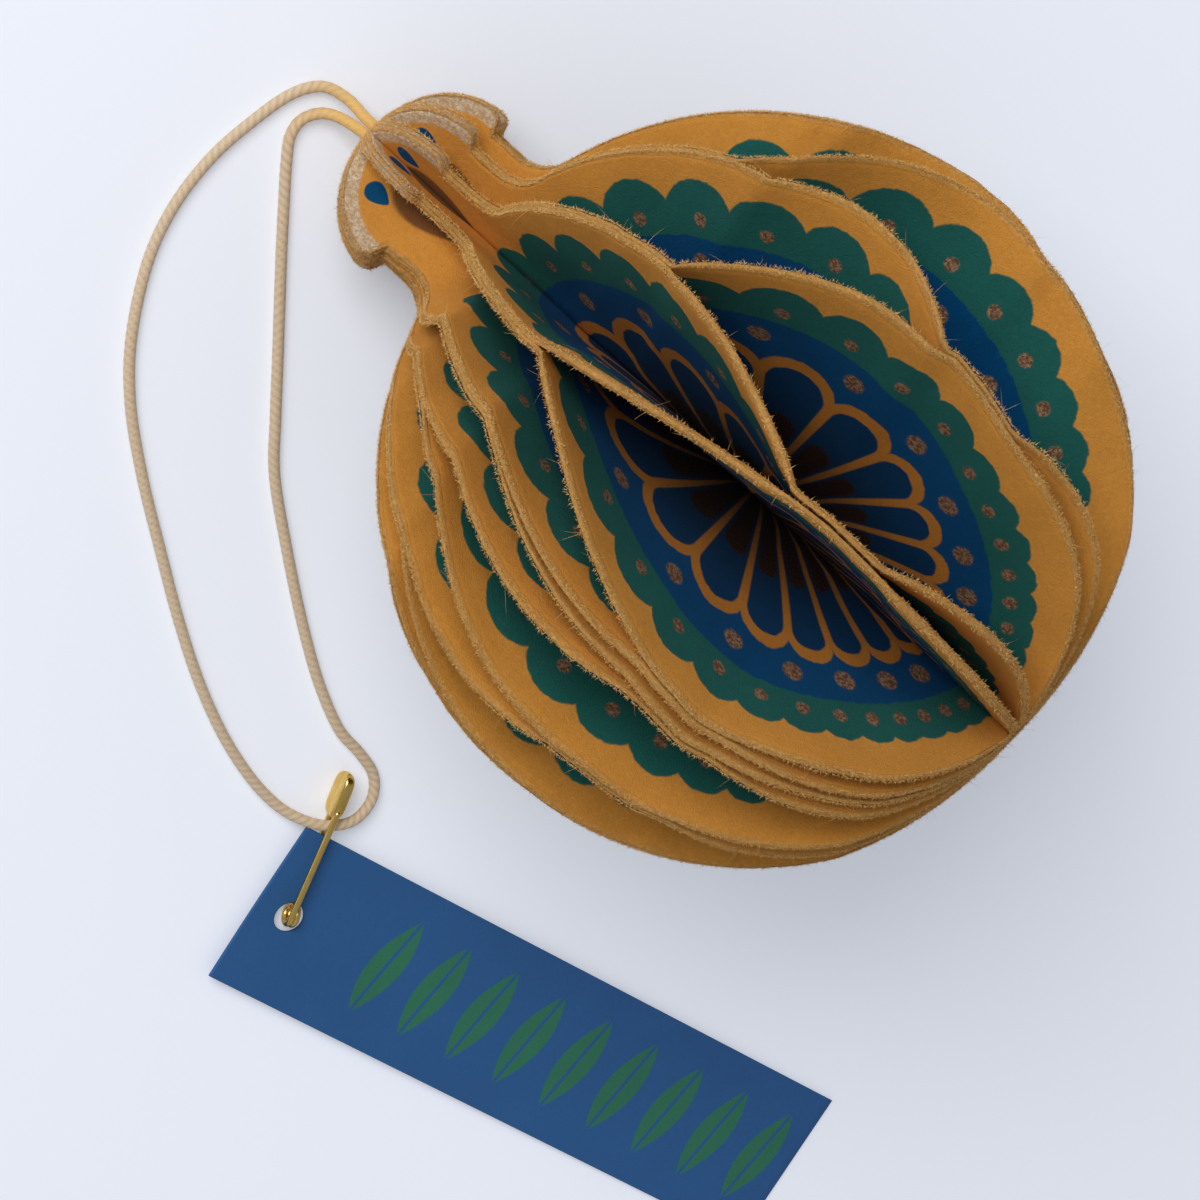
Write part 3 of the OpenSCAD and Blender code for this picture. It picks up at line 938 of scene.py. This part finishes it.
def makeTag():
    # lines run from the round hole out to the straight edges on top, and back below
    length, width = tagSet["long"], tagSet["wide"]
    low, high = -tagSet["holeFromEnd"], length - tagSet["holeFromEnd"]
    corners = np.arctan2([width / 2, width / 2, -width / 2, -width / 2], [high, low, low, high])
    angle = np.sort(np.concatenate([np.linspace(-math.pi, math.pi, 144, endpoint=False), corners]))
    c, s = np.cos(angle), np.sin(angle)
    with np.errstate(divide="ignore"):
        reach = np.minimum(np.where(c > 0, high / c, low / c), width / 2 / np.abs(s))
    edge = np.stack([reach * c, reach * s], axis=1)
    hole = tagSet["holeR"] * np.stack([c, s], axis=1)
    share = np.concatenate([[0, 0.004], np.linspace(0.02, 0.985, tagSet["lines"]), [0.996, 1]])
    flat = hole[None] * (1 - share[:, None, None]) + edge[None] * share[:, None, None]
    # the card is a little thinner at the hole and at its edges
    drawnIn = np.array([0.25, 0.05] + [0.0] * tagSet["lines"] + [0.06, 0.3])[:, None]
    topZs = np.broadcast_to(tagSet["thick"] * (1 - drawnIn), flat.shape[:2])
    underZs = np.broadcast_to(tagSet["thick"] * drawnIn, flat.shape[:2])
    top = np.concatenate([flat, topZs[..., None]], axis=-1)
    under = np.concatenate([flat, underZs[..., None]], axis=-1)
    shape = np.concatenate([top, under[::-1]], axis=0)
    # the card slopes from the pin down to its far end, with a slight curl
    x, y = shape[..., 0], shape[..., 1]
    slope = (high - x) / length * tagSet["rise"]
    lift = tagSet["curl"] * (y / width * 2) ** 2 * (0.5 + 0.5 * np.cos(math.pi * x / length))
    shape[..., 2] += slope + lift
    turn = math.radians(tagSet["turn"])
    world = np.stack([tagSet["holeAt"][0] + x * math.cos(turn) - y * math.sin(turn),
                      tagSet["holeAt"][1] + x * math.sin(turn) + y * math.cos(turn), shape[..., 2]], axis=-1)
    rows, cols = shape.shape[:2]
    quads = gridFaces(rows, cols)
    seam = np.stack([np.arange(cols), (np.arange(cols) + 1) % cols], axis=1)
    close = np.stack([seam[:, 1], seam[:, 0], seam[:, 0] + (rows - 1) * cols,
                      seam[:, 1] + (rows - 1) * cols], axis=1)
    piece = addMesh("tag_card", world * mm, np.vstack([quads[:, ::-1], close[:, ::-1]]))
    setPlan(piece, "card", np.stack([x / length, y / width], axis=-1))
    return piece


def cardMaterial():
    material, tree, shader = newMaterial("dyed card", Roughness=0.8)
    place = objectPlace(tree)
    run = addNode(tree, "ShaderNodeSeparateXYZ",
                  {0: addNode(tree, "ShaderNodeUVMap", uv_map="card").outputs[0]})
    x, y = run.outputs[0], run.outputs[1]
    # a row of slender leaves: a lens shape in each cell, leaning a little
    first = tagSet["motifsFrom"]
    cell = tagSet["motifsLong"] / tagSet["motifs"]
    lean = plus(tree, x, times(tree, y, -tagSet["lean"]))
    local = maths(tree, "WRAP", minus(tree, lean, first), cell, 0.0)
    du = over(tree, minus(tree, local, cell / 2), cell * 0.3)
    dv = over(tree, y, tagSet["motifTall"])
    lens = plus(tree, maths(tree, "ABSOLUTE", du), times(tree, dv, dv))
    vein = maths(tree, "ABSOLUTE", du)
    inRow = times(tree, below(tree, lean, first + cell * tagSet["motifs"], 0.001),
                  minus(tree, 1.0, below(tree, lean, first, 0.001)))
    leafMask = times(tree, times(tree, below(tree, lens, 1.0, 0.08), inRow),
                     minus(tree, 1.0, below(tree, vein, 0.1, 0.03)))
    colour = blendColour(tree, leafMask, tagSet["blue"], tagSet["green"])
    matted = placeGroup(tree, pulp, {"Place": place, "Coarse": 0.8})
    # pulp shade: random blotches plus painted shade in the pits
    colour = shaded(tree, colour, times(tree, matted.outputs["Shade"], 0.6))
    bump = bumpOf(tree, matted.outputs["Height"], 0.5, 0.0001)
    tree.links.new(colour, shader.inputs["Base Color"])
    tree.links.new(bump, shader.inputs["Normal"])
    return material


pinSet = {
    "wire": 0.8,
    "gap": 2.4,
    "long": 19.5,
    "head": 5.6,
    "turn": 114,
    "bendFromHole": 0.6,
    "aside": 0.42,  # the legs lie this far to either side of the pin's middle
    "tuck": 1.2,  # length of wire inside the head
    "legSteps": 30,
    "springSteps": 110,
    "wireSides": 14,
    "headGrid": 40,
    "boxy": 0.55,  # power that squares the head's section
}


def pinPlace(points):
    # from the pin's own plane, x along its legs and z up, to its place across the tag
    turn = math.radians(pinSet["turn"])
    rise = pinSet["gap"] / 2 + pinSet["wire"] / 2
    x, y, z = points[..., 0] + pinSet["bendFromHole"], points[..., 1], points[..., 2] + rise
    return np.stack([tagSet["holeAt"][0] + x * math.cos(turn) - y * math.sin(turn),
                     tagSet["holeAt"][1] + x * math.sin(turn) + y * math.cos(turn), z], axis=-1) * mm


def sweep(line3, radius, sides):
    # circle carried along a path; its frame turns with the path's own plane
    way = np.gradient(line3, axis=0)
    way /= np.linalg.norm(way, axis=1)[:, None]
    side = np.tile([0.0, 1.0, 0.0], (len(way), 1))
    side -= way * np.sum(way * side, axis=1)[:, None]
    side /= np.linalg.norm(side, axis=1)[:, None]
    other = np.cross(way, side)
    angle = np.linspace(0, 2 * math.pi, sides, endpoint=False)
    return (line3[:, None] + radius[:, None, None] * (np.cos(angle)[None, :, None] * side[:, None]
            + np.sin(angle)[None, :, None] * other[:, None]))


def makePin():
    half, wire = pinSet["gap"] / 2, pinSet["wire"]
    aside, steps = pinSet["aside"], pinSet["legSteps"]
    far = pinSet["long"] - half - wire / 2 - pinSet["head"] + pinSet["tuck"]
    # lower leg, one and a half turns of the spring, upper leg
    straight = np.linspace(far, 0, steps)
    lower = np.stack([straight, np.full(steps, -aside), np.full(steps, -half)], axis=1)
    turn = np.linspace(0, 3 * math.pi, pinSet["springSteps"])[1:-1]
    shift = -aside + 2 * aside * turn / (3 * math.pi)
    spring = np.stack([-half * np.sin(turn), shift, -half * np.cos(turn)], axis=1)
    outwards = straight[::-1]
    upper = np.stack([outwards, np.full(steps, aside) * (1 - outwards / far), np.full(steps, half)], axis=1)
    wireLine = np.vstack([lower, spring, upper])
    tube = sweep(wireLine, np.full(len(wireLine), wire / 2), pinSet["wireSides"])
    rows, cols = tube.shape[:2]
    wirePiece = addMesh("pin_wire", pinPlace(tube), tubeFaces(rows, cols))
    # head: rounded box section, full in the middle and drawn in at its ends
    end = pinSet["long"] - half - wire / 2
    start = end - pinSet["head"]
    grid, boxy = pinSet["headGrid"], pinSet["boxy"]
    u = np.linspace(-1, 1, grid)
    length = (start + end) / 2 + pinSet["head"] / 2 * np.sin(u * math.pi / 2)
    swell = np.clip(1 - np.abs(np.sin(u * math.pi / 2)) ** 5, 0.0, 1) ** 0.5
    swell[[0, -1]] = 0.02
    angle = np.linspace(0, 2 * math.pi, grid, endpoint=False)
    tall = (half + wire / 2) * np.sign(np.sin(angle)) * np.abs(np.sin(angle)) ** boxy
    wide = wire * np.sign(np.cos(angle)) * np.abs(np.cos(angle)) ** boxy
    # a crease runs along each flank, where the sheet is folded over the legs
    wide = wide * (1 - 0.22 * np.exp(-(tall / 0.35) ** 2))
    head = np.stack([np.broadcast_to(length[:, None], (grid, grid)), swell[:, None] * wide[None],
                     swell[:, None] * tall[None]], axis=-1)
    headPiece = addMesh("pin_head", pinPlace(head), tubeFaces(grid, grid))
    return wirePiece, headPiece


tagPiece = makeTag()
tagPiece.data.materials.append(cardMaterial())
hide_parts("tag")
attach(tagPiece, "root")
pinWire, pinHead = makePin()
for part in (pinWire, pinHead):
    part.data.materials.append(brass)
    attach(part, "root")
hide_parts("safety_pin")
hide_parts("hanging_cord")
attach(cordPiece, "root")
print("tag and pin made")


# table, lamps and sky
stageSet = {
    "tableColour": rgba(232, 236, 244),
    "glow": 0.3,
    "sky": 0.36,
    "skyColour": rgba(236, 240, 250),
    "aimAt": (0, 0, 0.03),
    # each lamp: name, place, size, power
    "lamps": [("key lamp", (-0.85, 0.1, 0.75), 0.6, 8.2), ("fill lamp", (0.5, -0.9, 0.9), 1.2, 0.7)],
}


def tableShine(tree, shader):
    # to the camera, and in what the brass mirrors, the shaded table is lifted by a plain glow
    ray = addNode(tree, "ShaderNodeLightPath")
    seen = maths(tree, "MAXIMUM", ray.outputs["Is Camera Ray"], ray.outputs["Is Glossy Ray"])
    seen = maths(tree, "MAXIMUM", seen, ray.outputs["Is Transmission Ray"])
    light = {"Color": stageSet["tableColour"], "Strength": stageSet["glow"]}
    glow = addNode(tree, "ShaderNodeEmission", light)
    both = addNode(tree, "ShaderNodeAddShader", {0: shader.outputs[0], 1: glow.outputs[0]})
    mixed = addNode(tree, "ShaderNodeMixShader", {0: seen, 1: shader.outputs[0], 2: both.outputs[0]})
    return mixed.outputs[0]


def setStage():
    bpy.ops.mesh.primitive_plane_add(size=6)
    table = bpy.context.object
    table.name = "table"
    material, tree, shader = newMaterial("pale table", Roughness=0.7)
    shader.inputs["Base Color"].default_value = stageSet["tableColour"]
    tree.links.new(tableShine(tree, shader), tree.nodes["Material Output"].inputs["Surface"])
    table.data.materials.append(material)
    world = bpy.data.worlds.new("sky")
    world.use_nodes = True
    bpy.context.scene.world = world
    background = world.node_tree.nodes["Background"]
    background.inputs[0].default_value = stageSet["skyColour"]
    background.inputs[1].default_value = stageSet["sky"]
    for name, spot, size, power in stageSet["lamps"]:
        lamp = bpy.data.lights.new(name, "AREA")
        lamp.size, lamp.energy = size, power
        holder = bpy.data.objects.new(name, lamp)
        bpy.context.collection.objects.link(holder)
        holder.location = spot
        # the lamp tips from straight down, then turns about the upright to face its aim
        aim = np.array(stageSet["aimAt"]) - np.array(spot)
        tip = math.acos(-aim[2] / np.linalg.norm(aim))
        holder.rotation_euler = (tip, 0, math.atan2(aim[1], aim[0]) - math.pi / 2)
    bpy.context.scene.view_settings.view_transform = "Standard"


setStage()
print("stage set")
